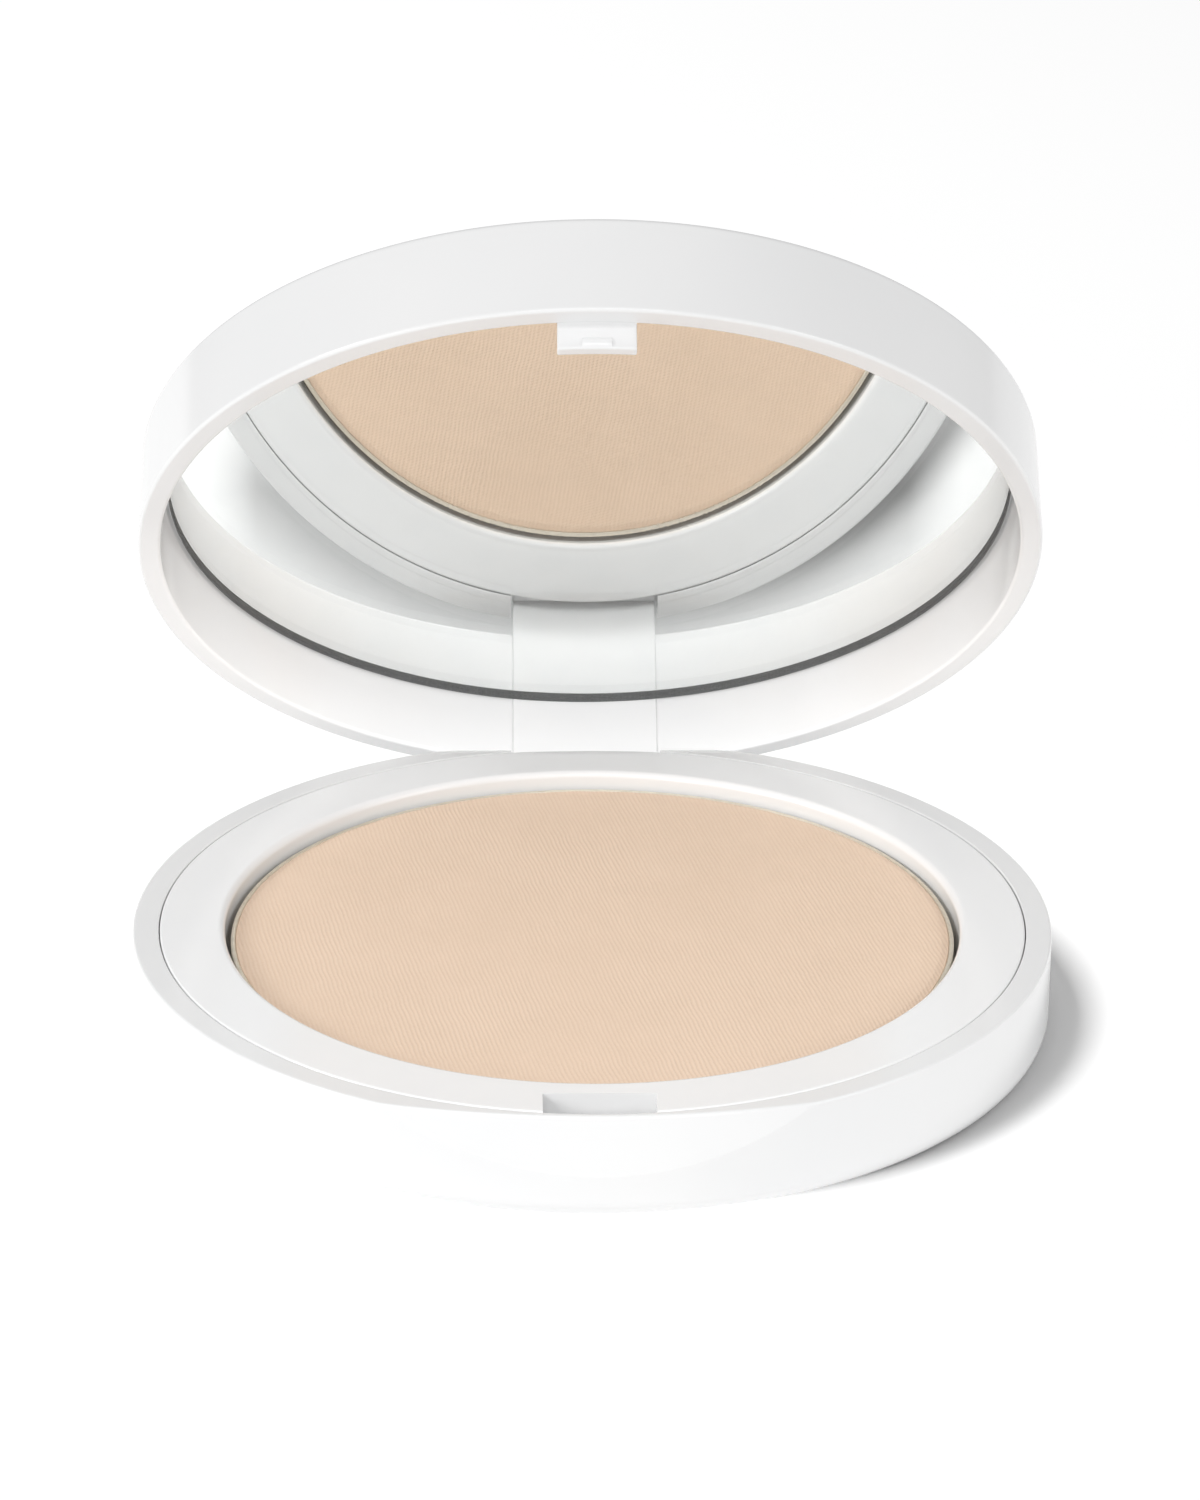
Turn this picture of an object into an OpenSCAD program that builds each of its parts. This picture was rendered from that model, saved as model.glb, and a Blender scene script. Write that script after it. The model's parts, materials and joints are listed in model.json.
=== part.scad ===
// Round pressed-powder compact: a moulded base with a powder well, and a hinged lid with a mirror.
// The origin is the centre of the underside, +Z is up, the thumb recess faces -Y and the hinge is at +Y.
// The lid is drawn open by open_angle, which is its rest position.

/* [Overall] */
// Outside diameter of the base and the lid
case_d = 75; // [74:0.5:78]
// Height of the base, from the underside to its top plane
base_h = 8; // [7.8:0.1:9]
// Height of the lid, from its rim to its outer face
lid_h = 8.6; // [8.4:0.1:10]
// Angle of the lid above the closed position
open_angle = 51; // [0:1:80]
// Gap between the lid's rim and the base when closed
parting_gap = 0.12; // [0.1:0.01:0.2]

/* [Base shell] */
// Thickness of the base's floor
floor_t = 1.2; // [1:0.1:1.5]
// Radius of the seam round the pan frame
seam_r = 35.42; // [35.3:0.01:35.5]
// Inner radius of the base wall under the frame's ledge
hollow_r = 34.8; // [34.4:0.1:35]
// Radius of the rounded edge under the base
foot_round = 1.5; // [1:0.1:2]

/* [Thumb recess] */
// Distance from the centre to the recess at the top plane
thumb_y = 35.9; // [35.8:0.05:36.2]
// Radius of the recess across the front
thumb_r = 67; // [60:1:75]
// Lean of the recess away from vertical
thumb_lean = 20.5; // [18:0.5:24]

/* [Pan frame] */
// Radius of the opening over the pan
opening_r = 30.03; // [29.9:0.01:30.2]
// Thickness of the frame's ring
ring_t = 1.3; // [1.2:0.1:1.5]
// Thickness of the well's wall
well_wall = 0.9; // [0.8:0.1:1]
// Thickness of the well's floor
well_floor = 0.85; // [0.8:0.05:1]
// Width of the latch pocket
pocket_w = 8.6; // [8:0.1:9]
// Depth of the latch pocket under the top plane
pocket_d = 3.4; // [3.3:0.1:3.8]

/* [Pan and powder] */
// Outside diameter of the pan
pan_d = 59.2; // [59:0.1:59.4]
// Depth of the pan's rim under the top plane
pan_drop = 1.4; // [1.2:0.1:1.8]
// Thickness of the pan's sheet metal
pan_t = 0.4; // [0.3:0.05:0.5]
// Height of the powder above the pan's rim
powder_rise = 0.15; // [0:0.05:0.4]
// Width of the shoulder round the powder
powder_shoulder = 0.55; // [0.3:0.05:0.8]

/* [Hinge] */
// Distance from the centre to the hinge pin
pin_y = 34.1; // [34:0.05:34.2]
// Depth of the hinge pin under the top plane
pin_drop = 4.9; // [4.8:0.05:5]
// Diameter of the hinge pin
pin_d = 1.5; // [1.4:0.1:1.6]
// Length of the hinge pin
pin_l = 24; // [20:1:24]
// Width of the lid's hinge lug
lug_w = 13; // [12:0.5:14]
// Gap on each side of the lug
lug_gap = 0.15; // [0.1:0.05:0.25]
// Radial gap between the pin and the lug's bore
pin_gap = 0.04; // [0.02:0.01:0.08]

/* [Lid] */
// Inner radius of the lid's wall
lid_inner_r = 35.67; // [35.6:0.01:35.7]
// Depth of the lid's hollow, from the rim to its ceiling
lid_depth = 7.4; // [7.3:0.1:7.5]
// Radius of the lid's upper edge
lid_round = 0.5; // [0.3:0.1:1]
// Width of the latch tab
tab_w = 6.1; // [5.5:0.1:6.5]
// Length of the latch tab beyond the rim
tab_l = 1.95; // [1.9:0.05:2.4]

/* [Mirror] */
// Diameter of the mirror
mirror_d = 70.6; // [70:0.1:70.7]
// Thickness of the mirror's glass
mirror_t = 1.1; // [1:0.1:1.2]
// Thickness of the tape behind the mirror
tape_t = 0.15; // [0.1:0.05:0.2]

/* [Hidden] */
case_r = case_d / 2;
ledge_z = base_h - ring_t;
frame_r = seam_r - 0.12;
well_r = opening_r + well_wall;
well_z = floor_t + well_floor;
glue_t = 0.15;
glue_r = 4;
glue_orbit = 16;
pan_r = pan_d / 2;
pan_z = well_z + glue_t;
pan_top = base_h - pan_drop;
pocket_y = 32.1;
pocket_wall = 0.8;
pin_r = pin_d / 2;
pin_z = base_h - pin_drop;
knuckle_r = 1.9;
lug_inner_r = 35.4;
lug_outer_r = pin_y + 3.05;
lug_foot = 1;
slot_w = lug_w + 2 * lug_gap;
slot_y = pin_y - knuckle_r - 0.2;
block_w = pin_l + 1.2;
block_r = well_r + 0.2;
rim_z = base_h + parting_gap;
mirror_z = lid_depth - tape_t - mirror_t;
tab_r = 35.2;
tab_t = 1;
tab_foot = 2.6;
tab_tip = 0.15;
tab_sink = 0.4;
nib_w = 2.3;
nib_out = 0.17;
nib_r = 0.45;
nib_z = 1.4;
catch_top = 0.7;
catch_bottom = 2.2;
catch_in = 0.23;
tape_inset = 2.5;
label_r = 24;
label_t = 0.12;
edge_round = 0.3;
seam_round = 0.12;
frame_round = 0.2;
opening_round = 0.4;
rim_round = 0.25;
pan_round = 0.6;
cake_round = 0.35;
white = [0.95, 0.95, 0.95];
$fn = 180;

// Points of an arc from angle a0 to a1
function arc(x, y, r, a0, a1, n = 6) = [for (i = [0:n]) [x + r * cos(a0 + (a1 - a0) * i / n),
                                                         y + r * sin(a0 + (a1 - a0) * i / n)]];

// A box between two corners
module box(low, high) {
    translate(low) cube(high - low);
}

// A round bar along X, centred on the hinge axis
module on_axis(r, w) {
    translate([-w / 2, pin_y, pin_z]) rotate([0, 90, 0]) cylinder(r = r, h = w);
}

// A part of a ring: radii r0 to r1, heights z0 to z1, width w, towards the hinge
module back_ring(r0, r1, z0, z1, w) {
    intersection() {
        rotate_extrude() translate([r0, z0]) square([r1 - r0, z1 - z0]);
        box([-w / 2, 0, z0 - 1], [w / 2, case_r + 1, z1 + 1]);
    }
}

// Turns a closed-position lid part to its rest position
module opened() {
    translate([0, pin_y, pin_z]) rotate([-open_angle, 0, 0]) translate([0, -pin_y, -pin_z]) children();
}

// What is cut from the back corner so that the lid's rim can swing round the hinge axis
module back_relief() {
    difference() {
        box([-case_r, pin_y, pin_z], [case_r, case_r + 1, base_h + 1]);
        on_axis(pin_drop, case_d + 2);
    }
}

// Everything inside the leaning face of the thumb recess
module thumb_side() {
    translate([0, thumb_r / cos(thumb_lean) - thumb_y, base_h])
        rotate([-thumb_lean, 0, 0]) cylinder(r = thumb_r, h = 120, center = true);
}

module base_shell() {
    outline = concat([[0, 0]], arc(case_r - foot_round, foot_round, foot_round, -90, 0, 8),
                     arc(case_r - edge_round, base_h - edge_round, edge_round, 0, 90, 4),
                     arc(seam_r + seam_round, base_h - seam_round, seam_round, 90, 180, 3),
                     [[seam_r, ledge_z], [hollow_r, ledge_z], [hollow_r, floor_t], [0, floor_t]]);
    color(white) difference() {
        intersection() {
            union() {
                rotate_extrude() polygon(outline);
                back_ring(block_r, hollow_r + 0.5, floor_t / 2, ledge_z, block_w);
            }
            thumb_side();
        }
        back_relief();
        box([-slot_w / 2, slot_y, -1], [slot_w / 2, case_r + 1, base_h + 1]);
        on_axis(pin_r, case_d);
        latch_room();
        translate([0, 0, -1]) cylinder(r = label_r, h = 1 + label_t);
    }
}

// Room for the latch tab in the front wall, with a shallow catch for its nib
module latch_room() {
    intersection() {
        translate([0, 0, base_h - pocket_d]) cylinder(r = seam_r, h = pocket_d);
        box([-pocket_w / 2, -case_r, 0], [pocket_w / 2, -hollow_r + 3, base_h + 1]);
    }
    intersection() {
        translate([0, 0, base_h - catch_bottom])
            cylinder(r = seam_r + catch_in, h = catch_bottom - catch_top);
        box([-nib_w / 2 - 0.4, -case_r, 0], [nib_w / 2 + 0.4, -hollow_r + 3, base_h]);
    }
}

module pan_frame() {
    outline = concat([[0, floor_t], [well_r, floor_t], [well_r, ledge_z], [frame_r, ledge_z]],
                     arc(frame_r - frame_round, base_h - frame_round, frame_round, 0, 90, 4),
                     arc(opening_r + opening_round, base_h - opening_round, opening_round, 90, 180, 6),
                     [[opening_r, well_z], [0, well_z]]);
    color(white) difference() {
        union() {
            rotate_extrude() polygon(outline);
            intersection() {
                translate([0, 0, base_h - pocket_d - pocket_wall]) cylinder(r = hollow_r - 0.1, h = pocket_d);
                box([-pocket_w / 2 - pocket_wall, -case_r, 0],
                    [pocket_w / 2 + pocket_wall, -pocket_y + pocket_wall, base_h]);
            }
        }
        box([-pocket_w / 2, -case_r, base_h - pocket_d], [pocket_w / 2, -pocket_y, base_h + 1]);
        back_relief();
    }
}

module powder_pan() {
    outline = concat([[0, pan_z]], arc(pan_r - pan_round, pan_z + pan_round, pan_round, -90, 0, 4),
                     [[pan_r, pan_top], [pan_r - pan_t, pan_top]],
                     arc(pan_r - pan_t - edge_round, pan_z + pan_t + edge_round, edge_round, 0, -90, 3),
                     [[0, pan_z + pan_t]]);
    color("silver") rotate_extrude() polygon(outline);
}

module pressed_powder() {
    cake_r = pan_r - pan_t;
    top = pan_top + powder_rise;
    outline = concat([[0, pan_z + pan_t]], arc(cake_r - edge_round, pan_z + pan_t + edge_round, edge_round, -90, 0, 3),
                     [[cake_r, pan_top - 0.25]],
                     arc(cake_r - powder_shoulder - 0.1, top - cake_round, cake_round, 35, 90, 4), [[0, top]]);
    color([0.93, 0.8, 0.69]) rotate_extrude() polygon(outline);
}

module pan_glue_dots() {
    color([0.9, 0.88, 0.8]) for (a = [0:90:270])
        rotate([0, 0, a + 45]) translate([glue_orbit, 0, well_z]) cylinder(r = glue_r, h = glue_t);
}

module hinge_pin() {
    color("gainsboro") on_axis(pin_r, pin_l);
}

module base_label() {
    color([0.97, 0.97, 0.96]) cylinder(r = label_r - 0.1, h = label_t);
}

// The lug under the lid's back wall, with the knuckle that turns on the pin
module hinge_lug() {
    intersection() {
        back_ring(lug_inner_r, lug_outer_r, pin_z - lug_foot, rim_z + 2, lug_w);
        union() {
            box([-lug_w, 0, pin_z + 0.5], [lug_w, case_r + 1, rim_z + 3]);
            on_axis(lug_outer_r - pin_y + 0.04, lug_w + 1);
        }
    }
    back_ring(lug_inner_r, lid_inner_r + 0.5, rim_z, rim_z + lid_depth, lug_w);
    on_axis(knuckle_r, lug_w);
}

// The latch tab inside the lid's front wall, with the nib on its outer face
module latch_tab() {
    outline = concat([[tab_r - tab_t, tab_foot]],
                     arc(tab_r - tab_t + rim_round, -tab_l + rim_round, rim_round, 180, 270, 3),
                     arc(tab_r - tab_tip, -tab_l + tab_tip, tab_tip, 270, 360, 4),
                     [[tab_r, -0.4], [tab_r + 0.06, -0.15], [tab_r + 0.25, -0.03], [lid_inner_r + tab_sink, 0.05],
                      [lid_inner_r + tab_sink, tab_foot + 0.8]]);
    nib = concat([[tab_r - 0.3, -nib_z - nib_r], [tab_r, -nib_z - nib_r]],
                 arc(tab_r - nib_r, -nib_z, nib_r + nib_out, -38, 38, 6),
                 [[tab_r, -nib_z + nib_r], [tab_r - 0.3, -nib_z + nib_r]]);
    intersection() {
        translate([0, 0, rim_z]) rotate_extrude() polygon(outline);
        box([-tab_w / 2, -case_r, 0], [tab_w / 2, 0, rim_z + lid_h]);
    }
    intersection() {
        translate([0, 0, rim_z]) rotate_extrude() polygon(nib);
        box([-nib_w / 2, -case_r, 0], [nib_w / 2, 0, rim_z + lid_h]);
    }
}

module lid_shell() {
    outline = concat(arc(lid_inner_r + rim_round, rim_round, rim_round, 180, 270, 4),
                     arc(case_r - rim_round, rim_round, rim_round, -90, 0, 4),
                     arc(case_r - lid_round, lid_h - lid_round, lid_round, 0, 90, 6), [[0, lid_h], [0, lid_depth]],
                     arc(lid_inner_r - edge_round, lid_depth - edge_round, edge_round, 90, 0, 4));
    color(white) opened() difference() {
        union() {
            translate([0, 0, rim_z]) rotate_extrude() polygon(outline);
            hinge_lug();
            latch_tab();
        }
        on_axis(pin_r + pin_gap, lug_w + 2);
    }
}

module mirror_glass() {
    translate([0, 0, rim_z + mirror_z]) cylinder(d = mirror_d, h = mirror_t);
}

module lid_mirror() {
    color([0.75, 0.78, 0.8]) opened() mirror_glass();
}

module mirror_tape() {
    color([0.9, 0.9, 0.85]) opened() translate([0, 0, rim_z + mirror_z + mirror_t])
        cylinder(r = mirror_d / 2 - tape_inset, h = tape_t);
}

base_shell();
pan_frame();
powder_pan();
pressed_powder();
pan_glue_dots();
hinge_pin();
base_label();
lid_shell();
lid_mirror();  // mirror
mirror_tape();
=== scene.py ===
"""A round pressed-powder compact, half open.

High-resolution shells, powder, pan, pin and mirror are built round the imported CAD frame.
"""

import json
import math

import bmesh
import bpy
from mathutils import Matrix, Vector

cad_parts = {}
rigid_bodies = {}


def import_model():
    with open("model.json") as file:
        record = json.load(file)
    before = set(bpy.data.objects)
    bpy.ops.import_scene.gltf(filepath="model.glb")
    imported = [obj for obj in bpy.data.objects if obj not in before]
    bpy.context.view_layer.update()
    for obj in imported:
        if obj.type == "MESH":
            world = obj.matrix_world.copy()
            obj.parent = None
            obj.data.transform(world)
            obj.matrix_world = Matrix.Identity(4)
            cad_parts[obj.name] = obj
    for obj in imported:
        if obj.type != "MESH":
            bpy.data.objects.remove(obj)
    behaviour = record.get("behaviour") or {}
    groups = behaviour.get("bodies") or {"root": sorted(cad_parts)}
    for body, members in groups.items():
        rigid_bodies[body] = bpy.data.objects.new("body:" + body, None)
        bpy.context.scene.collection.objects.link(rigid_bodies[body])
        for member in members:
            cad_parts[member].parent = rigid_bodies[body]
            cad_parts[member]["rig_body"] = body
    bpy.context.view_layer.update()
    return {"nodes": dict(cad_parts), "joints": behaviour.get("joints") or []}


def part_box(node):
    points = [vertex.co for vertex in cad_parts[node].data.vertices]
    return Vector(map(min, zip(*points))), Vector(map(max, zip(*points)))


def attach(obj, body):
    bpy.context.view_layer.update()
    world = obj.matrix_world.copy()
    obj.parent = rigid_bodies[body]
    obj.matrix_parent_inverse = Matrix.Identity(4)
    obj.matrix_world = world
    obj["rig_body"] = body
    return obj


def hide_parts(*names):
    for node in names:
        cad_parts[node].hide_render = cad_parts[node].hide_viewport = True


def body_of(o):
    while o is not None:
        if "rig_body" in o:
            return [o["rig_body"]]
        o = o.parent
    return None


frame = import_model()

# ---------------------------------------------------------------- sizes, in millimetres
MM = 0.001


def box_mm(node):
    low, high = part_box(node)
    return low / MM, high / MM


# Measured from the frame
hinge = frame["joints"][0]
PIN_Y, PIN_Z = hinge["pos_m"][1] / MM, hinge["pos_m"][2] / MM
OPEN = math.radians(-hinge["range_deg"][0])
CASE_R = box_mm("base_shell")[1].x
BASE_H = box_mm("pan_frame")[1].z
FRAME_R = box_mm("pan_frame")[1].x
PAN_R = box_mm("powder_pan")[1].x
PAN_Z, PAN_TOP = box_mm("powder_pan")[0].z, box_mm("powder_pan")[1].z
POWDER_R = box_mm("pressed_powder")[1].x
POWDER_Z, POWDER_TOP = box_mm("pressed_powder")[0].z, box_mm("pressed_powder")[1].z
PIN_L = box_mm("hinge_pin")[1].x * 2
PIN_R = (box_mm("hinge_pin")[1].z - box_mm("hinge_pin")[0].z) / 2
LABEL_R, LABEL_T = box_mm("base_label")[1].x, box_mm("base_label")[1].z
MIRROR_R = box_mm("mirror")[1].x

# The base's inside, which the nodes' boxes do not show
FLOOR_T = 1.2
RING_T = 1.3
LEDGE_Z = BASE_H - RING_T
SEAM_R = FRAME_R + 0.12
HOLLOW_R = 34.8
OPENING_R = 30.03
WELL_R = OPENING_R + 0.9
WELL_Z = PAN_Z - 0.15
FRAME_FIT = 0.04  # how much wider the frame is here than in CAD, which narrows the seam
PAN_SHEET = 0.4
POCKET_W, POCKET_D, POCKET_Y = 8.6, 3.4, 32.1
THUMB_Y, THUMB_R, THUMB_LEAN = 35.9, 67.0, math.radians(20.5)
RELIEF_R = BASE_H - PIN_Z
FOOT_ROUND, TOP_ROUND, CREASE_ROUND, SEAM_ROUND = 1.5, 0.3, 0.35, 0.13
FRAME_ROUND, OPENING_ROUND = 0.18, 0.55

# The powder's shoulder and crown
SHOULDER_W, SHOULDER_ROUND, CROWN = 0.6, 0.35, 0.02
RIB_PITCH, WEFT_PITCH = 0.36, 0.27

# The hinge lug, the lid, the mirror and the latch
LUG_W, SLOT_W, SLOT_Y = 13.0, 13.3, 32.0
KNUCKLE_R, LUG_IN, LUG_OUT, LUG_CURVE, LUG_FOOT = 1.9, 35.4, 37.15, 3.09, 2.1
LUG_BACK, LUG_ROOT = 0.5, 0.6  # the straight back's ends, above the pin and above the rim
RIM_Z = BASE_H + 0.12
LID_H, LID_IN, LID_DEPTH = 8.6, 35.67, 7.4
RIM_ROUND, LID_ROUND, LID_INNER_ROUND = 0.28, 0.5, 0.3
MIRROR_Z, MIRROR_T, MIRROR_GAP = 6.15, 1.1, 0.015
TAB_R, TAB_T, TAB_W, TAB_L = 35.2, 1.0, 6.1, 1.95
TAB_FOOT, TAB_ROOT, TAB_SINK, TAB_FILLET = 2.6, 3.4, 0.4, 0.3
NIB_W, NIB_OUT, NIB_R, NIB_Z = 2.3, 0.17, 0.45, 1.4
CATCH_TOP, CATCH_BOTTOM, CATCH_IN = 0.7, 2.2, 0.23

OPENED = (
    Matrix.Translation((0, PIN_Y, PIN_Z))
    @ Matrix.Rotation(-OPEN, 4, "X")
    @ Matrix.Translation((0, -PIN_Y, -PIN_Z))
)


# ---------------------------------------------------------------- mesh helpers
def corner_points(before, corner, after, radius, steps):
    """The points that round a corner of an outline; a straight corner gets the same number of points."""
    if not steps:
        return [corner]
    p, a, b = Vector(corner), Vector(before), Vector(after)
    to_a, to_b = a - p, b - p
    room = 0.48 * min(to_a.length, to_b.length)
    to_a.normalize()
    to_b.normalize()
    half = math.acos(max(-1.0, min(1.0, to_a.dot(to_b)))) / 2
    if half > 1.5:  # nearly straight
        reach = min(max(radius / math.tan(half), 0.06), room)
        ends = p + to_a * reach, p + to_b * reach
        return [
            tuple(ends[0] * (1 - t) ** 2 + p * (2 * t * (1 - t)) + ends[1] * t * t)
            for t in [i / steps for i in range(steps + 1)]
        ]
    reach = min(radius / math.tan(half), room)
    centre = p + (to_a + to_b).normalized() * (reach / math.cos(half))
    start, end = p + to_a * reach - centre, p + to_b * reach - centre
    turn = math.pi - 2 * half
    return [
        tuple(centre + (start * math.sin((1 - t) * turn) + end * math.sin(t * turn)) / math.sin(turn))
        for t in [i / steps for i in range(steps + 1)]
    ]


def outline(corners, closed=False):
    """Joins corners given as (x, y, radius, steps, cuts).

    That many cuts go on the straight stretch after the corner, the outer two close to its ends.
    """
    n = len(corners)
    rounds = []
    for i, c in enumerate(corners):
        inner = closed or 0 < i < n - 1
        rounds.append(
            corner_points(corners[i - 1][:2], c[:2], corners[(i + 1) % n][:2], c[2], c[3])
            if inner
            else [tuple(c[:2])]
        )
    points = []
    for i, c in enumerate(corners):
        points += rounds[i]
        if i == n - 1 and not closed:
            break
        a, b = Vector(rounds[i][-1]), Vector(rounds[(i + 1) % n][0])
        cuts = c[4]
        if cuts:
            near = min(0.3, 0.12 / max((b - a).length, 1e-6))
            stops = [near]
            stops += [near + (1 - 2 * near) * k / (cuts - 1) for k in range(1, cuts - 1)]
            stops.append(1 - near)
            points += [tuple(a.lerp(b, t)) for t in stops[:cuts]]
    return points


def mesh_object(name, verts, faces, matrix=None):
    mesh = bpy.data.meshes.new(name)
    mesh.from_pydata(verts, [], faces)
    mesh.update()
    obj = bpy.data.objects.new(name, mesh)
    bpy.context.scene.collection.objects.link(obj)
    if matrix:
        mesh.transform(matrix)
    return obj


def lathe(name, profile_at, steps=720):
    """Turns an outline about Z.

    profile_at(angle) gives (radius, z) points from the axis back to the axis; angle 0 is -Y.
    """
    verts, faces = [], []
    first = profile_at(0.0)
    inner = len(first) - 2
    verts += [(0, 0, first[0][1]), (0, 0, first[-1][1])]
    for i in range(steps):
        phi = 2 * math.pi * i / steps
        s, c = math.sin(phi), math.cos(phi)
        verts += [(r * s, -r * c, z) for r, z in profile_at(phi)[1:-1]]
    for i in range(steps):
        a, b = 2 + i * inner, 2 + (i + 1) % steps * inner
        faces.append((0, b, a))
        faces.append((1, a + inner - 1, b + inner - 1))
        faces += [(a + k, b + k, b + k + 1, a + k + 1) for k in range(inner - 1)]
    return mesh_object(name, verts, faces)


def loft(name, sections):
    """Joins closed outlines of equal length into a solid with flat ends."""
    n = len(sections[0])
    verts = [p for section in sections for p in section]
    faces = []
    for s in range(len(sections) - 1):
        a, b = s * n, (s + 1) * n
        faces += [(a + k, a + (k + 1) % n, b + (k + 1) % n, b + k) for k in range(n)]
    faces += [tuple(reversed(range(n))), tuple(range(len(verts) - n, len(verts)))]
    return mesh_object(name, verts, faces)


def across(half_w, edge, section_at, edge_steps=4, steps=16):
    """Sections along X for loft, with the two end edges rounded: section_at(x, inset)."""
    stations = []
    for i in range(edge_steps + 1):
        t = math.pi / 2 * i / edge_steps
        stations.append((-half_w + edge * (1 - math.sin(t)), edge * (1 - math.cos(t))))
    left = [(x, inset) for x, inset in reversed(stations)]
    flat = half_w - edge
    middle = [(-flat + 2 * flat * k / steps, 0.0) for k in range(1, steps)]
    right = [(-x, inset) for x, inset in stations]
    return [section_at(x, inset) for x, inset in left + middle + right]


def prism(name, points, x0, x1):
    """An outline in (y, z) pushed along X."""
    return loft(name, [[(x, y, z) for y, z in points] for x in (x0, x1)])


def pillar(name, points, z0, z1):
    """An outline in (x, y) pushed along Z."""
    return loft(name, [[(x, y, z) for x, y in points] for z in (z0, z1)])


def circle(y, z, r, a0=0.0, a1=360.0, steps=96):
    """Points of an arc in (y, z); a full circle leaves out its repeated end."""
    count = steps if a1 - a0 >= 360 else steps + 1
    return [
        (y + r * math.cos(math.radians(a0 + (a1 - a0) * i / steps)),
         z + r * math.sin(math.radians(a0 + (a1 - a0) * i / steps)))
        for i in range(count)
    ]


def outward(obj):
    """Turns every face's normal outward."""
    bm = bmesh.new()
    bm.from_mesh(obj.data)
    bmesh.ops.recalc_face_normals(bm, faces=bm.faces)
    bm.to_mesh(obj.data)
    bm.free()
    return obj


def boolean(obj, others, operation="DIFFERENCE"):
    """Cuts the others from an object, or joins them to it, and removes them."""
    for other in others:
        outward(other)
        mod = obj.modifiers.new("cut", "BOOLEAN")
        mod.operation, mod.solver, mod.object = operation, "EXACT", other
        bpy.context.view_layer.update()
        mesh = bpy.data.meshes.new_from_object(obj.evaluated_get(bpy.context.evaluated_depsgraph_get()))
        obj.modifiers.clear()
        obj.data = mesh
        bpy.data.objects.remove(other)
    return obj


def finished(obj, body, material, replaced, opened=False, sharp=28):
    """Scales a millimetre mesh to metres, shades it, and hands it to the frame."""
    if opened:
        obj.data.transform(OPENED)
    obj.data.transform(Matrix.Scale(MM, 4))
    obj.data.polygons.foreach_set("use_smooth", [True] * len(obj.data.polygons))
    obj.data.set_sharp_from_angle(angle=math.radians(sharp))
    obj.data.materials.clear()
    for m in material if isinstance(material, list) else [material]:
        obj.data.materials.append(m)
    obj.data.update()
    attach(obj, body)
    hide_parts(*replaced)
    return obj


# ---------------------------------------------------------------- materials
class Nodes:
    """A short way to write a node tree."""

    def __init__(self, name):
        self.material = bpy.data.materials.new(name)
        self.material.use_nodes = True
        self.tree = self.material.node_tree
        self.tree.nodes.clear()
        self.out = self.tree.nodes.new("ShaderNodeOutputMaterial")
        self.shader = self.add("ShaderNodeBsdfPrincipled")
        self.tree.links.new(self.shader.outputs[0], self.out.inputs[0])

    def add(self, kind, **settings):
        node = self.tree.nodes.new(kind)
        for key, value in settings.items():
            setattr(node, key, value)
        return node

    def put(self, socket, value):
        if isinstance(value, bpy.types.NodeSocket):
            self.tree.links.new(value, socket)
        else:
            socket.default_value = value

    def set(self, **values):
        for key, value in values.items():
            self.put(self.shader.inputs[key.replace("_", " ")], value)

    def math(self, operation, a, b=0.0):
        node = self.add("ShaderNodeMath", operation=operation)
        for socket, value in zip(node.inputs, (a, b)):
            self.put(socket, value)
        return node.outputs[0]

    def place(self, turn=0.0):
        """Object coordinates in millimetres, turned about Z."""
        coordinates = self.add("ShaderNodeTexCoord")
        mapping = self.add("ShaderNodeMapping")
        self.tree.links.new(coordinates.outputs["Object"], mapping.inputs["Vector"])
        mapping.inputs["Scale"].default_value = (1 / MM,) * 3
        mapping.inputs["Rotation"].default_value = (0, 0, math.radians(turn))
        return mapping.outputs[0]

    def noise(self, vector, scale, detail=3.0, roughness=0.5):
        node = self.add("ShaderNodeTexNoise")
        self.put(node.inputs["Vector"], vector)
        node.inputs["Scale"].default_value = scale
        node.inputs["Detail"].default_value = detail
        node.inputs["Roughness"].default_value = roughness
        return node.outputs[0]

    def mix(self, factor, a, b):
        node = self.add("ShaderNodeMix", data_type="RGBA")
        self.put(node.inputs[0], factor)
        self.put(node.inputs[6], a)
        self.put(node.inputs[7], b)
        return node.outputs[2]

    def spread(self, value, low, high, to_low=0.0, to_high=1.0):
        node = self.add("ShaderNodeMapRange")
        for socket, v in zip(node.inputs, (value, low, high, to_low, to_high)):
            self.put(socket, v)
        return node.outputs[0]

    def bump(self, height, strength, distance_mm, normal=None):
        node = self.add("ShaderNodeBump")
        self.put(node.inputs["Height"], height)
        node.inputs["Strength"].default_value = strength
        node.inputs["Distance"].default_value = distance_mm * MM
        if normal:
            self.put(node.inputs["Normal"], normal)
        return node.outputs[0]


def rgb(r, g, b):
    return (r, g, b, 1.0)


def plastic(name, colour, tint, roughness):
    """Glossy moulded white plastic: a very fine ripple and a little roughness and colour variation."""
    n = Nodes(name)
    where = n.place()
    broad, ripple, grain = n.noise(where, 0.05, 2), n.noise(where, 0.9, 2), n.noise(where, 14.0, 3)
    n.set(
        Base_Color=n.mix(n.spread(broad, 0.35, 0.65), colour, tint),
        Roughness=n.spread(grain, 0.3, 0.7, roughness - 0.03, roughness + 0.04),
        IOR=1.49,
        Normal=n.bump(grain, 0.06, 0.004, n.bump(ripple, 0.10, 0.02)),
    )
    return n.material


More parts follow.
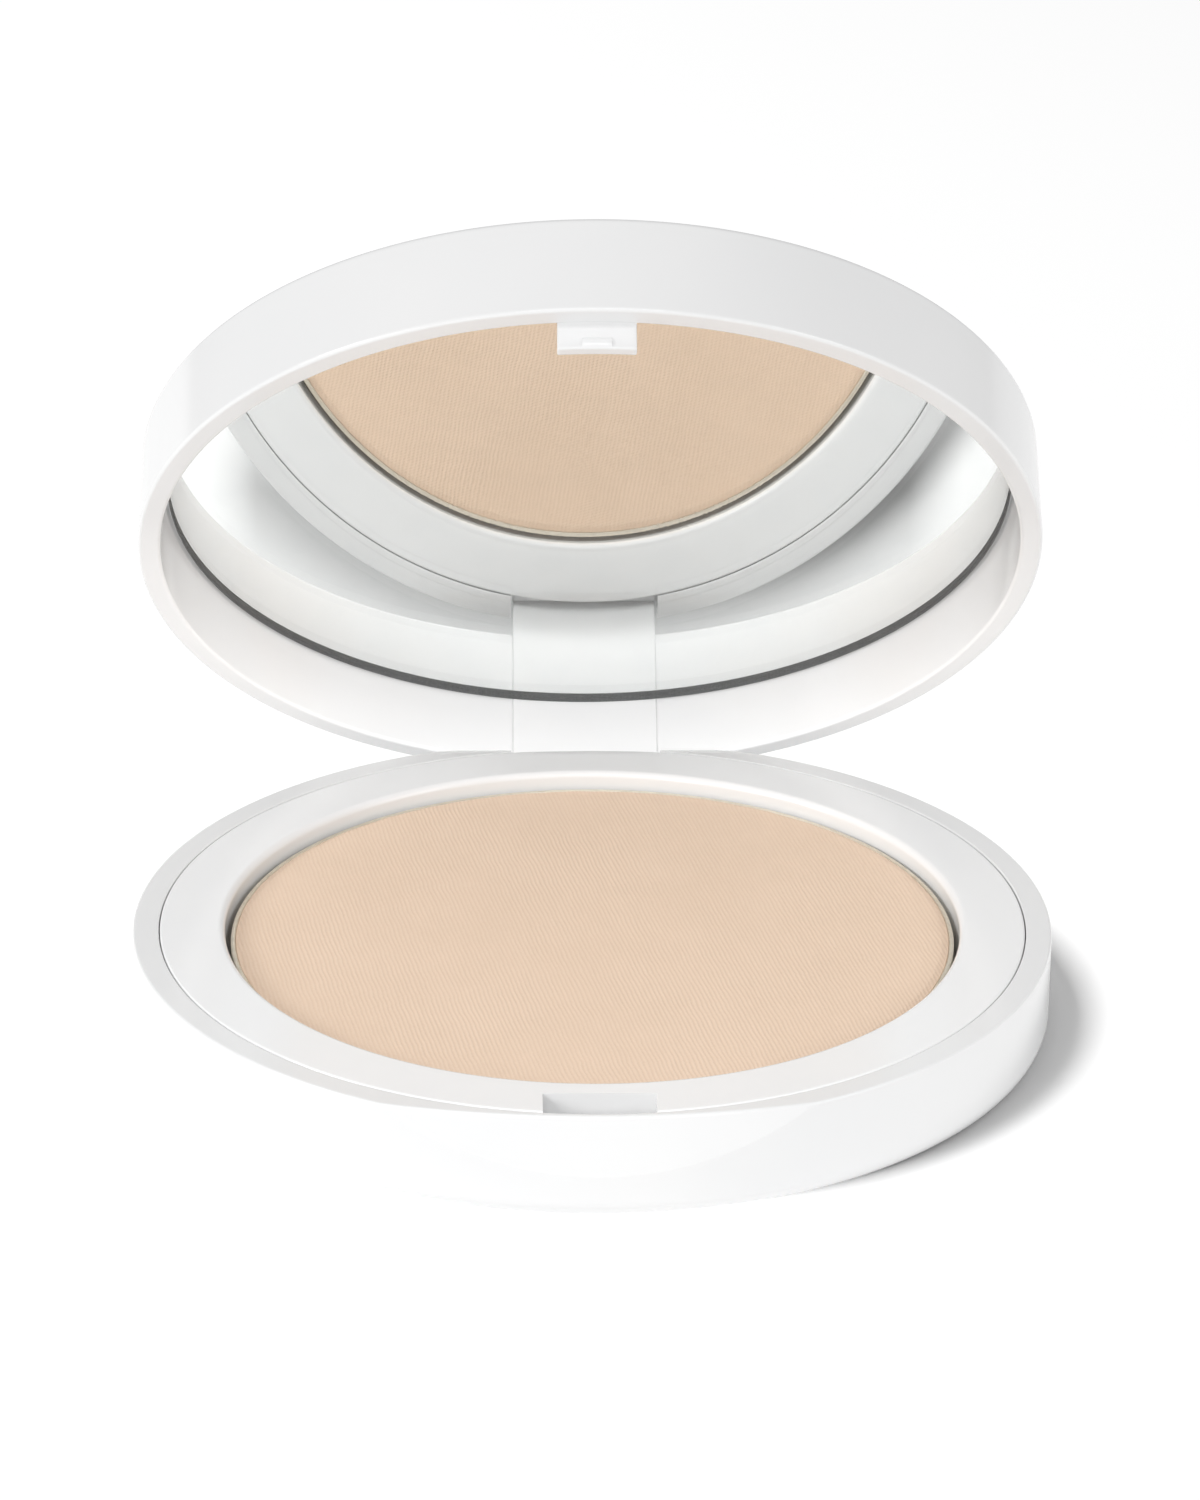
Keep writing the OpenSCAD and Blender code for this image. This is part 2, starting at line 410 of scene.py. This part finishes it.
def powder_material():
    """Pressed powder: twill ribs from the pressing cloth, a finer cross weave, grain and drift of colour."""
    n = Nodes("pressed_powder")
    where = n.place(turn=-11.0)
    parts = n.add("ShaderNodeSeparateXYZ")
    n.put(parts.inputs[0], where)
    x, y = parts.outputs[0], parts.outputs[1]
    drift = n.noise(where, 0.12, 2)
    wobble = n.math("MULTIPLY", n.math("SUBTRACT", n.noise(where, 0.35, 2), 0.5), 0.35)
    rib = n.math("SINE", n.math("MULTIPLY", n.math("ADD", x, wobble), 2 * math.pi / RIB_PITCH))
    across_ribs = n.math("ADD", y, n.math("MULTIPLY", x, 0.5))
    weft = n.math("SINE", n.math("MULTIPLY", across_ribs, 2 * math.pi / WEFT_PITCH))
    fade = n.spread(n.noise(where, 0.09, 2), 0.35, 0.7, 0.6, 1.0)
    weave = n.math("ADD", n.math("MULTIPLY", rib, 0.42), n.math("MULTIPLY", weft, 0.16))
    cloth = n.math("MULTIPLY", weave, fade)
    grain = n.noise(where, 9.0, 5, 0.65)
    height = n.math("ADD", cloth, n.math("MULTIPLY", grain, 0.6))
    base = n.mix(n.spread(drift, 0.35, 0.65), rgb(0.78, 0.582, 0.428), rgb(0.81, 0.608, 0.452))
    speck = n.spread(n.math("ADD", n.math("MULTIPLY", cloth, 0.45), grain), 0.2, 0.8, 0.0, 1.0)
    n.set(
        Base_Color=n.mix(n.math("MULTIPLY", speck, 0.7), base, rgb(0.885, 0.70, 0.557)),
        Roughness=0.88,
        Specular_IOR_Level=0.18,
        Sheen_Weight=0.12,
        Sheen_Roughness=0.5,
        Normal=n.bump(height, 0.85, 0.04),
    )
    return n.material


def metal(name, colour, low, high, stretch):
    """Metal with fine drawn or brushed lines: stretch is the noise's scale along X, Y and Z."""
    n = Nodes(name)
    where = n.place()
    lines = n.add("ShaderNodeMapping")
    n.put(lines.inputs["Vector"], where)
    lines.inputs["Scale"].default_value = stretch
    streak = n.noise(lines.outputs[0], 1.0, 4, 0.6)
    n.set(
        Base_Color=n.mix(n.spread(streak, 0.3, 0.7), colour, rgb(*[c * 0.86 for c in colour[:3]])),
        Metallic=1.0,
        Roughness=n.spread(streak, 0.3, 0.7, low, high),
        Normal=n.bump(streak, 0.15, 0.01),
    )
    return n.material


def glass_material():
    """Clear glass, smeared a very little."""
    n = Nodes("mirror_glass")
    smear = n.noise(n.place(), 0.08, 3)
    n.set(
        Base_Color=rgb(0.985, 0.995, 0.99),
        Roughness=n.spread(smear, 0.45, 0.8, 0.0, 0.006),
        Transmission_Weight=1.0,
        IOR=1.5,
    )
    return n.material


def silver_material():
    """The silvered back of the mirror, with a slight haze in its colour."""
    n = Nodes("mirror_silver")
    haze = n.noise(n.place(), 0.3, 3)
    n.set(
        Base_Color=n.mix(n.spread(haze, 0.4, 0.7), rgb(0.955, 0.96, 0.955), rgb(0.94, 0.948, 0.945)),
        Metallic=1.0,
        Roughness=0.0,
    )
    return n.material


def edge_material():
    """The dark ground edge of the mirror."""
    n = Nodes("mirror_edge")
    chips = n.noise(n.place(), 6.0, 3)
    n.set(
        Base_Color=n.mix(n.spread(chips, 0.35, 0.65), rgb(0.13, 0.135, 0.14), rgb(0.21, 0.22, 0.22)),
        Roughness=0.6,
    )
    return n.material


def soft_film(name, colour, tint, roughness, scale):
    """A film, foam or adhesive with a fine fibre: scale is the noise's scale."""
    n = Nodes(name)
    fibre = n.noise(n.place(), scale, 4)
    n.set(
        Base_Color=n.mix(n.spread(fibre, 0.35, 0.65), colour, tint),
        Roughness=n.spread(fibre, 0.3, 0.7, roughness - 0.06, roughness + 0.08),
        Normal=n.bump(fibre, 0.2, 0.01),
    )
    return n.material


WHITE = plastic("case_white", rgb(0.80, 0.802, 0.805), rgb(0.82, 0.82, 0.82), 0.16)
POWDER = powder_material()
PAN_METAL = metal("pan_aluminium", rgb(0.90, 0.84, 0.72), 0.34, 0.48, (1.2, 1.2, 18.0))
PIN_STEEL = metal("pin_steel", rgb(0.62, 0.61, 0.60), 0.2, 0.34, (0.4, 14.0, 14.0))
GLASS, SILVER, GROUND_EDGE = glass_material(), silver_material(), edge_material()
LABEL_FILM = soft_film("label_film", rgb(0.88, 0.88, 0.87), rgb(0.84, 0.84, 0.835), 0.45, 5.0)
GLUE = soft_film("pan_glue", rgb(0.80, 0.77, 0.66), rgb(0.72, 0.69, 0.58), 0.35, 1.2)
TAPE = soft_film("tape_foam", rgb(0.78, 0.78, 0.75), rgb(0.70, 0.70, 0.67), 0.7, 2.5)


# ---------------------------------------------------------------- base shell
THUMB_DEPTH = THUMB_R / math.cos(THUMB_LEAN)


def thumb_radius(phi, z):
    """Distance from the centre to the face of the thumb recess, at an angle from -Y and a height."""
    yc = THUMB_DEPTH - THUMB_Y - (BASE_H - z) * math.tan(THUMB_LEAN)
    s, c = math.sin(phi), math.cos(phi)
    a = s * s / THUMB_R**2 + c * c / THUMB_DEPTH**2
    b = 2 * c * yc / THUMB_DEPTH**2
    k = yc * yc / THUMB_DEPTH**2 - 1
    return (-b + math.sqrt(b * b - 4 * a * k)) / (2 * a)


def thumb_crease(phi):
    """Height at which the recess leaves the outer wall."""
    x, y = CASE_R * math.sin(phi), -CASE_R * math.cos(phi)
    yc = y + THUMB_DEPTH * math.sqrt(max(0.0, 1 - (x / THUMB_R) ** 2))
    return BASE_H - (THUMB_DEPTH - THUMB_Y - yc) / math.tan(THUMB_LEAN)


def relieved(points, phi):
    """Keeps an outline inside the round back corner.

    The corner is centred on the hinge pin, so that the lid's rim can swing past.
    """
    toward_hinge = -math.cos(phi)
    if toward_hinge * CASE_R <= PIN_Y:
        return points
    kept = []
    for r, z in points:
        y = r * toward_hinge
        reach = math.hypot(y - PIN_Y, z - PIN_Z)
        if y > PIN_Y and z > PIN_Z and reach > RELIEF_R:
            y, z = PIN_Y + (y - PIN_Y) * RELIEF_R / reach, PIN_Z + (z - PIN_Z) * RELIEF_R / reach
        kept.append((y / toward_hinge, z))
    return kept


def base_profile(phi):
    """The base shell's outline at an angle, with the thumb recess and the round back corner."""
    turn = (phi + math.pi) % (2 * math.pi) - math.pi
    crease, top_r = BASE_H - 0.4, CASE_R
    if abs(turn) < 0.8:
        crease = min(crease, thumb_crease(turn))
        top_r = min(top_r, thumb_radius(turn, BASE_H))
    wall_y = -CASE_R * math.cos(phi)
    if wall_y > PIN_Y:
        crease = min(crease, PIN_Z + math.sqrt(RELIEF_R**2 - (wall_y - PIN_Y) ** 2))
    return relieved(outline([
        (0, LABEL_T, 0, 0, 0), (LABEL_R + 0.1, LABEL_T, 0, 0, 0), (LABEL_R + 0.1, 0, 0.05, 2, 4),
        (CASE_R, 0, FOOT_ROUND, 10, 6), (CASE_R, crease, CREASE_ROUND, 5, 5),
        (top_r, BASE_H, TOP_ROUND, 7, 4), (SEAM_R, BASE_H, SEAM_ROUND, 5, 2),
        (SEAM_R, LEDGE_Z, 0, 0, 0), (HOLLOW_R, LEDGE_Z, 0, 0, 0),
        (HOLLOW_R, FLOOR_T, 0, 0, 0), (0, FLOOR_T, 0, 0, 0),
    ]), phi)


def ring_sector(name, r0, r1, z0, z1, half_w, side, steps=40):
    """Part of a ring in front (-1) or behind (+1), between x = -half_w and half_w."""
    arcs = []
    for r, order in ((r0, 1), (r1, -1)):
        xs = [order * half_w * (2 * k / steps - 1) for k in range(steps + 1)]
        arcs += [(x, side * math.sqrt(r * r - x * x)) for x in xs]
    return pillar(name, arcs, z0, z1)


def build_base_shell():
    shell = outward(lathe("base_shell_moulded", base_profile, 960))
    cheeks = ring_sector("cheeks", WELL_R + 0.2, HOLLOW_R + 0.4, FLOOR_T / 2, LEDGE_Z - 0.01,
                         PIN_L / 2 + 0.6, 1)
    boolean(shell, [cheeks], "UNION")
    slot = pillar("slot", [(-SLOT_W / 2, SLOT_Y), (SLOT_W / 2, SLOT_Y), (SLOT_W / 2, CASE_R + 2),
                           (-SLOT_W / 2, CASE_R + 2)], -1, BASE_H + 1)
    bore = prism("bore", circle(PIN_Y, PIN_Z, PIN_R, steps=48), -CASE_R, CASE_R)
    room = ring_sector("room", HOLLOW_R - 3, SEAM_R + 0.04, BASE_H - POCKET_D, BASE_H + 1, POCKET_W / 2, -1)
    catch = ring_sector("catch", HOLLOW_R - 3, SEAM_R + CATCH_IN, BASE_H - CATCH_BOTTOM, BASE_H - CATCH_TOP,
                        NIB_W / 2 + 0.4, -1, 12)
    boolean(shell, [slot, bore, room, catch])
    return finished(shell, "base", WHITE, ["base_shell"])


def frame_profile(phi):
    edge_r = FRAME_R + FRAME_FIT
    return relieved(outline([
        (0, FLOOR_T, 0, 0, 0), (WELL_R, FLOOR_T, 0, 0, 0), (WELL_R, LEDGE_Z, 0, 0, 0),
        (edge_r, LEDGE_Z, 0, 0, 0), (edge_r, BASE_H, FRAME_ROUND, 6, 5),
        (OPENING_R, BASE_H, OPENING_ROUND, 10, 4),
        (OPENING_R, WELL_Z, 0.3, 4, 2), (0, WELL_Z, 0, 0, 0),
    ]), phi)


def build_pan_frame():
    tray = outward(lathe("pan_frame_moulded", frame_profile, 960))
    wall = pillar("wall", [(-POCKET_W / 2 - 0.8, -HOLLOW_R + 0.6), (POCKET_W / 2 + 0.8, -HOLLOW_R + 0.6),
                           (POCKET_W / 2 + 0.8, -POCKET_Y + 0.8), (-POCKET_W / 2 - 0.8, -POCKET_Y + 0.8)],
                  BASE_H - POCKET_D - 0.8, BASE_H - 1.1)
    boolean(tray, [wall], "UNION")
    pocket = pillar("pocket", [(-POCKET_W / 2, -CASE_R), (POCKET_W / 2, -CASE_R), (POCKET_W / 2, -POCKET_Y),
                               (-POCKET_W / 2, -POCKET_Y)], BASE_H - POCKET_D, BASE_H + 1)
    boolean(tray, [pocket])
    return finished(tray, "base", WHITE, ["pan_frame"])


def build_pan():
    profile = outline([
        (0, PAN_Z, 0, 0, 2), (PAN_R, PAN_Z, 0.6, 6, 3), (PAN_R, PAN_TOP, 0.1, 3, 0),
        (POWDER_R, PAN_TOP, 0.1, 3, 3), (POWDER_R, PAN_Z + PAN_SHEET, 0.3, 5, 3),
        (0, PAN_Z + PAN_SHEET, 0, 0, 0),
    ])
    return finished(outward(lathe("powder_pan_stamped", lambda phi: profile, 720)), "base",
                    PAN_METAL, ["powder_pan"])


def build_powder():
    """The cake is crowned by a few hundredths and has a rounded shoulder with a slightly uneven edge."""
    def profile(phi):
        ragged = 0.02 * math.sin(37 * phi) * math.sin(5 * phi + 1) + 0.012 * math.sin(83 * phi + 2)
        side = POWDER_R - 0.01
        shoulder = side - SHOULDER_W + ragged
        crown = [(shoulder * k / 24, POWDER_TOP - CROWN * (k / 24) ** 6, 0, 0, 0) for k in range(23, -1, -1)]
        return outline([
            (0, POWDER_Z, 0, 0, 2), (side, POWDER_Z, 0.3, 4, 2), (side, PAN_TOP - 0.02 + ragged, 0.08, 3, 0),
            (shoulder, POWDER_TOP - CROWN, SHOULDER_ROUND, 6, 0),
        ] + crown)
    return finished(outward(lathe("pressed_powder_cake", profile, 720)), "base", POWDER,
                    ["pressed_powder"])


def build_pin():
    half = PIN_L / 2
    profile = outline([
        (0, -half, 0, 0, 0), (PIN_R, -half, 0.15, 3, 8), (PIN_R, half, 0.15, 3, 0), (0, half, 0, 0, 0),
    ])
    pin = lathe("hinge_pin_wire", lambda phi: profile, 64)
    pin.data.transform(Matrix.Translation((0, PIN_Y, PIN_Z)) @ Matrix.Rotation(math.pi / 2, 4, "Y"))
    return finished(outward(pin), "base", PIN_STEEL, ["hinge_pin"])


def build_label():
    profile = outline([
        (0, 0, 0, 0, 6), (LABEL_R, 0, 0.03, 2, 0), (LABEL_R, LABEL_T, 0.03, 2, 2), (0, LABEL_T, 0, 0, 0),
    ])
    return finished(outward(lathe("base_label_film", lambda phi: profile, 360)), "base",
                    LABEL_FILM, ["base_label"])


# ---------------------------------------------------------------- lid
def lid_profile(phi):
    return outline([
        (0, RIM_Z + LID_DEPTH, 0, 0, 3), (LID_IN, RIM_Z + LID_DEPTH, LID_INNER_ROUND, 5, 5),
        (LID_IN, RIM_Z, RIM_ROUND, 7, 2), (CASE_R, RIM_Z, RIM_ROUND, 7, 6),
        (CASE_R, RIM_Z + LID_H, LID_ROUND, 9, 6), (0, RIM_Z + LID_H, 0, 0, 0),
    ])


def lug_section(x, inset):
    """The lug's closed outline at x: down its inner face, round the knuckle and up its back."""
    inner = math.sqrt((LUG_IN + inset) ** 2 - x * x)
    outer = math.sqrt((LUG_OUT - inset) ** 2 - x * x)
    buried = math.sqrt((LID_IN + 0.5) ** 2 - x * x)
    knuckle, curve, foot = KNUCKLE_R - inset, LUG_CURVE - inset, LUG_FOOT + inset
    top = RIM_Z + LID_DEPTH + 0.3
    start = math.degrees(math.acos((inner - PIN_Y) / knuckle))
    end = 360 - math.degrees(math.asin((PIN_Z - foot) / knuckle))
    points = [(inner, top - (top - PIN_Z - KNUCKLE_R) * k / 14) for k in range(14)]
    points += circle(PIN_Y, PIN_Z, knuckle, start, end, 40)
    points += [(min(outer, PIN_Y + math.sqrt(curve**2 - (z - PIN_Z) ** 2)), z)
               for z in [foot + (PIN_Z + LUG_BACK - foot) * k / 6 for k in range(7)]]
    points += [(outer, PIN_Z + LUG_BACK + (RIM_Z + LUG_ROOT - PIN_Z - LUG_BACK) * k / 8) for k in range(1, 9)]
    points += [(buried, RIM_Z + LUG_ROOT + (top - RIM_Z - LUG_ROOT) * k / 8) for k in range(9)]
    return [(x, y, z) for y, z in points]


def inset_outline(points, inset):
    """A closed outline moved in by a small distance."""
    n, moved = len(points), []
    following = points[1:] + points[:1]
    area = sum(p[0] * q[1] - q[0] * p[1] for p, q in zip(points, following))
    side = 1 if area > 0 else -1
    for i in range(n):
        a, p, b = Vector(points[i - 1]), Vector(points[i]), Vector(points[(i + 1) % n])
        u, v = (p - a).normalized(), (b - p).normalized()
        normal = Vector((-(u.y + v.y), u.x + v.x)) * side
        normal.normalize()
        lean = max(0.4, normal.dot(Vector((-u.y, u.x)) * side))
        moved.append(tuple(p + normal * (inset / lean)))
    return moved


def front_section(points):
    """Section maker for the front of the lid.

    The points are (radius, height above the rim), bent to the wall's curve.
    """
    def at(x, inset):
        return [(x, -math.sqrt(r * r - x * x), RIM_Z + z) for r, z in inset_outline(points, inset)]
    return at


def build_lid():
    lid = outward(lathe("lid_shell_moulded", lid_profile, 960))
    lug = loft("lug", across(LUG_W / 2, 0.16, lug_section))
    tab_points = outline([
        (TAB_R - TAB_T, TAB_FOOT, 0, 0, 4), (TAB_R - TAB_T, -TAB_L, 0.25, 6, 2), (TAB_R, -TAB_L, 0.16, 6, 4),
        (TAB_R, -0.03, TAB_FILLET, 8, 0), (LID_IN + TAB_SINK, 0.05, 0, 0, 2),
        (LID_IN + TAB_SINK, TAB_ROOT, 0, 0, 0),
    ], closed=True)
    tab = loft("tab", across(TAB_W / 2, 0.14, front_section(tab_points), 5, 12))
    nib_points = [(TAB_R - 0.3, -NIB_Z - NIB_R), (TAB_R, -NIB_Z - NIB_R)]
    nib_points += [(TAB_R - NIB_R + (NIB_R + NIB_OUT) * math.cos(math.radians(a)),
                    -NIB_Z + (NIB_R + NIB_OUT) * math.sin(math.radians(a))) for a in range(-38, 39, 7)]
    nib_points += [(TAB_R, -NIB_Z + NIB_R), (TAB_R - 0.3, -NIB_Z + NIB_R)]
    nib = loft("nib", across(NIB_W / 2, 0.06, front_section(nib_points), 3, 6))
    boolean(lid, [lug, tab, nib], "UNION")
    bore = prism("lug_bore", circle(PIN_Y, PIN_Z, PIN_R + 0.04, steps=48), -LUG_W / 2 - 1, LUG_W / 2 + 1)
    boolean(lid, [bore])
    return finished(lid, "lid", WHITE, ["lid_shell"], opened=True)


def build_mirror():
    """Glass with a silvered back and a ground edge: the faces of one disc, by material."""
    low, high = RIM_Z + MIRROR_Z, RIM_Z + MIRROR_Z + MIRROR_T - MIRROR_GAP
    profile = outline([
        (0, low, 0, 0, 3), (MIRROR_R, low, 0.06, 2, 3), (MIRROR_R, high, 0.06, 2, 3), (0, high, 0, 0, 0),
    ])
    disc = outward(lathe("mirror_disc", lambda phi: profile, 720))
    for face in disc.data.polygons:
        flat = abs(face.normal.z) > 0.99
        face.material_index = (1 if face.center.z > (low + high) / 2 else 0) if flat else 2
    indices = [face.material_index for face in disc.data.polygons]
    finished(disc, "lid", [GLASS, SILVER, GROUND_EDGE], ["mirror"], opened=True, sharp=20)
    disc.data.polygons.foreach_set("material_index", indices)
    return disc


for build in (build_base_shell, build_pan_frame, build_pan, build_powder, build_pin, build_label, build_lid,
              build_mirror):
    build()
for node, material in (("pan_glue_dots", GLUE), ("mirror_tape", TAPE)):
    frame["nodes"][node].data.materials.clear()
    frame["nodes"][node].data.materials.append(material)


# ---------------------------------------------------------------- floor, light and camera
FLOOR_SIZE, FLOOR_DROP = 4.0, 0.00002

# The floor's band of painted shade behind the base: its reach beyond the base, and where it fades in along Y
# and out along X
PAINTED_SHADE_NEAR, PAINTED_SHADE_FAR = 0.5, 9
PAINTED_SHADE_Y_START, PAINTED_SHADE_Y_FULL = 18, 26
PAINTED_SHADE_X_FULL, PAINTED_SHADE_X_END = 30, 35

SENSOR, LENS = 36.0, 110.4
CAMERA_PLACE = (-0.006459, -0.342529, 0.165870)
CAMERA_PITCH, CAMERA_YAW, CAMERA_ROLL = math.radians(22.68), math.radians(-1.17), math.radians(0.34)


def stage_floor():
    """Pale paper with a band of painted shade close behind the base.

    The painted band stands in for shade behind the base that the floor's own light does not give. The mirror
    shows it at its left and right ends, and a view from behind shows it directly.
    """
    half = FLOOR_SIZE
    floor = mesh_object("floor", [(-half, -half, 0), (half, -half, 0), (half, half, 0), (-half, half, 0)],
                        [(0, 1, 2, 3)], Matrix.Translation((0, 0, -FLOOR_DROP)))
    n = Nodes("floor_paper")
    where = n.place()
    parts = n.add("ShaderNodeSeparateXYZ")
    n.put(parts.inputs[0], where)
    length = n.add("ShaderNodeVectorMath", operation="LENGTH")
    n.put(length.inputs[0], where)
    near = n.spread(length.outputs["Value"], CASE_R + PAINTED_SHADE_NEAR, CASE_R + PAINTED_SHADE_FAR, 1.0, 0.0)
    behind = n.spread(parts.outputs[1], PAINTED_SHADE_Y_START, PAINTED_SHADE_Y_FULL, 0.0, 1.0)
    between = n.spread(n.math("ABSOLUTE", parts.outputs[0]), PAINTED_SHADE_X_FULL, PAINTED_SHADE_X_END, 1.0, 0.0)
    # painted shade: this mask darkens the floor close behind the base
    painted_shade_band = n.math("MULTIPLY", n.math("MULTIPLY", near, behind), between)
    fibre = n.spread(n.noise(where, 0.4, 4), 0.3, 0.7, 0.0, 0.02)
    paper = n.mix(fibre, rgb(0.96, 0.96, 0.96), rgb(0.90, 0.90, 0.90))
    n.set(
        # the paper colour with the band of painted shade mixed in
        Base_Color=n.mix(painted_shade_band, paper, rgb(0.42, 0.42, 0.42)),
        Roughness=0.9,
        Specular_IOR_Level=0.0,
    )
    floor.data.materials.append(n.material)


def area_light(name, place, target, size, power):
    data = bpy.data.lights.new(name, "AREA")
    data.shape, data.size, data.size_y = "RECTANGLE", size[0], size[1]
    data.energy = power
    light = bpy.data.objects.new(name, data)
    light.location = place
    light.rotation_euler = (Vector(target) - Vector(place)).to_track_quat("-Z", "Y").to_euler()
    bpy.context.scene.collection.objects.link(light)
    return light


def link_light(light, lit, blocking=()):
    """Lights only some objects. If any are named as blocking, only they cast its shadow."""
    for group, names in (("receiver_collection", lit), ("blocker_collection", blocking)):
        if not names:
            continue
        collection = bpy.data.collections.new(light.name + "_" + group)
        for name in names:
            collection.objects.link(bpy.data.objects[name])
        setattr(light.light_linking, group, collection)


def studio_lights():
    """Every light is linked: the four large ones to the whole compact, and the rest as their lines say."""
    meshes = [o for o in bpy.context.scene.objects if o.type == "MESH"]
    pieces = [o.name for o in meshes if body_of(o) and not o.hide_render]
    base_pieces = [name for name in pieces if not name.startswith(("lid_shell", "mirror"))]
    for lamp in (
        area_light("key", (-0.86, -0.25, 0.44), (0, 0, 0.02), (0.26, 0.26), 2.5),
        area_light("left_front", (-0.72, -0.55, 0.30), (0, 0, 0.02), (0.26, 0.26), 1.2),
        area_light("high", (0, -0.74, 0.64), (0, 0.02, 0.03), (0.6, 0.4), 2.4),
        area_light("side", (0.80, -0.40, 0.45), (0, 0, 0.03), (0.5, 0.4), 2.4),
    ):
        link_light(lamp, pieces)
    # reaches the base as if the lid were not there
    top = area_light("top", (-0.2, -0.2, 0.96), (0, 0, 0), (0.5, 0.5), 2.1)
    link_light(top, base_pieces, base_pieces)
    # lights the pan frame alone, for the latch pocket
    notch = area_light("notch", (-0.45, -0.80, 0.40), (0, -0.03, 0), (0.2, 0.2), 2.2)
    link_light(notch, ["pan_frame_moulded"], base_pieces)
    # a small unseen light over the powder, for the foot of the half-open lid; only the lid's shell blocks it.
    # It is made for that pose alone: above the closed lid it burns a white patch on its outer face
    hinge_fill = area_light("hinge_fill", (0, 0.004, 0.026), (0, 0.040, 0.006), (0.04, 0.012), 0.010)
    hinge_fill.visible_camera = hinge_fill.visible_glossy = False
    link_light(hinge_fill, ["lid_shell_moulded"], ["lid_shell_moulded"])
    # lights the floor alone, and only the pan frame casts a shadow in it
    sweep = area_light("sweep", (-1.70, -0.33, 2.28), (0, 0, 0), (0.72, 0.72), 70.0)
    link_light(sweep, ["floor"], ["pan_frame_moulded"])


def world(strength):
    w = bpy.data.worlds.new("studio")
    w.use_nodes = True
    background = w.node_tree.nodes["Background"]
    background.inputs[0].default_value = rgb(1, 1, 1)
    background.inputs[1].default_value = strength
    bpy.context.scene.world = w


def camera():
    pitch, yaw, roll = CAMERA_PITCH, CAMERA_YAW, CAMERA_ROLL
    forward = Vector((-math.sin(yaw) * math.cos(pitch), math.cos(yaw) * math.cos(pitch), -math.sin(pitch)))
    right = Vector((math.cos(yaw), math.sin(yaw), 0))
    up = right.cross(forward)
    right, up = right * math.cos(roll) + up * math.sin(roll), up * math.cos(roll) - right * math.sin(roll)
    data = bpy.data.cameras.new("camera")
    data.sensor_width, data.lens = SENSOR, LENS
    data.clip_start, data.clip_end = 0.01, 20.0
    obj = bpy.data.objects.new("camera", data)
    turn = Matrix((right, up, -forward)).transposed().to_4x4()
    obj.matrix_world = Matrix.Translation(CAMERA_PLACE) @ turn
    bpy.context.scene.collection.objects.link(obj)
    bpy.context.scene.camera = obj


stage_floor()
world(0.41)
studio_lights()
camera()
bpy.context.scene.view_settings.view_transform = "Standard"
bpy.context.scene.view_settings.look = "None"
